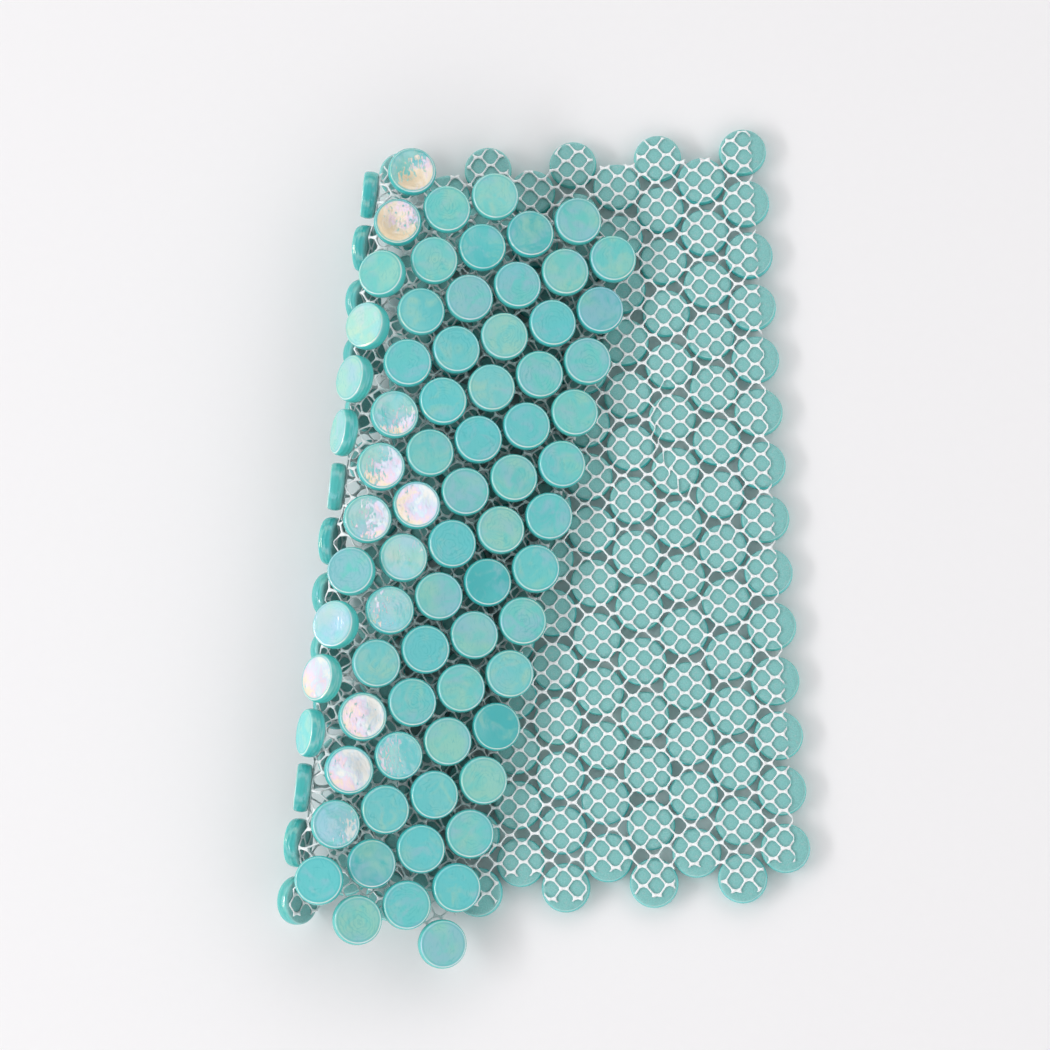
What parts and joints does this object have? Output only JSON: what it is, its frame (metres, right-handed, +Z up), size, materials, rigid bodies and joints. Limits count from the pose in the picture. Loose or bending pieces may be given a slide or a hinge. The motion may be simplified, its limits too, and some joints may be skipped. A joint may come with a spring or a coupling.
{
  "type": "mosaic tile sheet",
  "caption": "Sheet of round glass mosaic tiles on a white net, lying face down with one side curled up and over so that its tiles show their faces.",
  "frame": {"origin": "middle of the face of the tile under the middle of the flat part (fifth column from the right, eighth tile from the top), on the ground", "axes": "+X to the right along the rows of the flat part, +Y up along its columns, +Z up from the ground that the sheet lies on"},
  "size_m": [0.205, 0.3258, 0.0369],
  "materials": {
    "tile_glass": "opaque moulded glass, turquoise, glossy with an iridescent sheen on the face",
    "mesh_net": "white net of bonded threads with hexagonal cells, satin"
  },
  "bodies": {
    "root": {"tile_column_01": "tile_glass", "tile_column_02": "tile_glass", "tile_column_03": "tile_glass", "tile_column_04": "tile_glass", "tile_column_05": "tile_glass", "tile_column_06": "tile_glass", "tile_column_07": "tile_glass", "tile_column_08": "tile_glass", "tile_column_09": "tile_glass", "tile_column_10": "tile_glass", "tile_column_11": "tile_glass", "tile_column_12": "tile_glass", "tile_column_13": "tile_glass", "tile_column_14": "tile_glass", "tile_column_15": "tile_glass", "tile_column_16": "tile_glass", "mesh_backing": "mesh_net"}
  },
  "joints": []
}
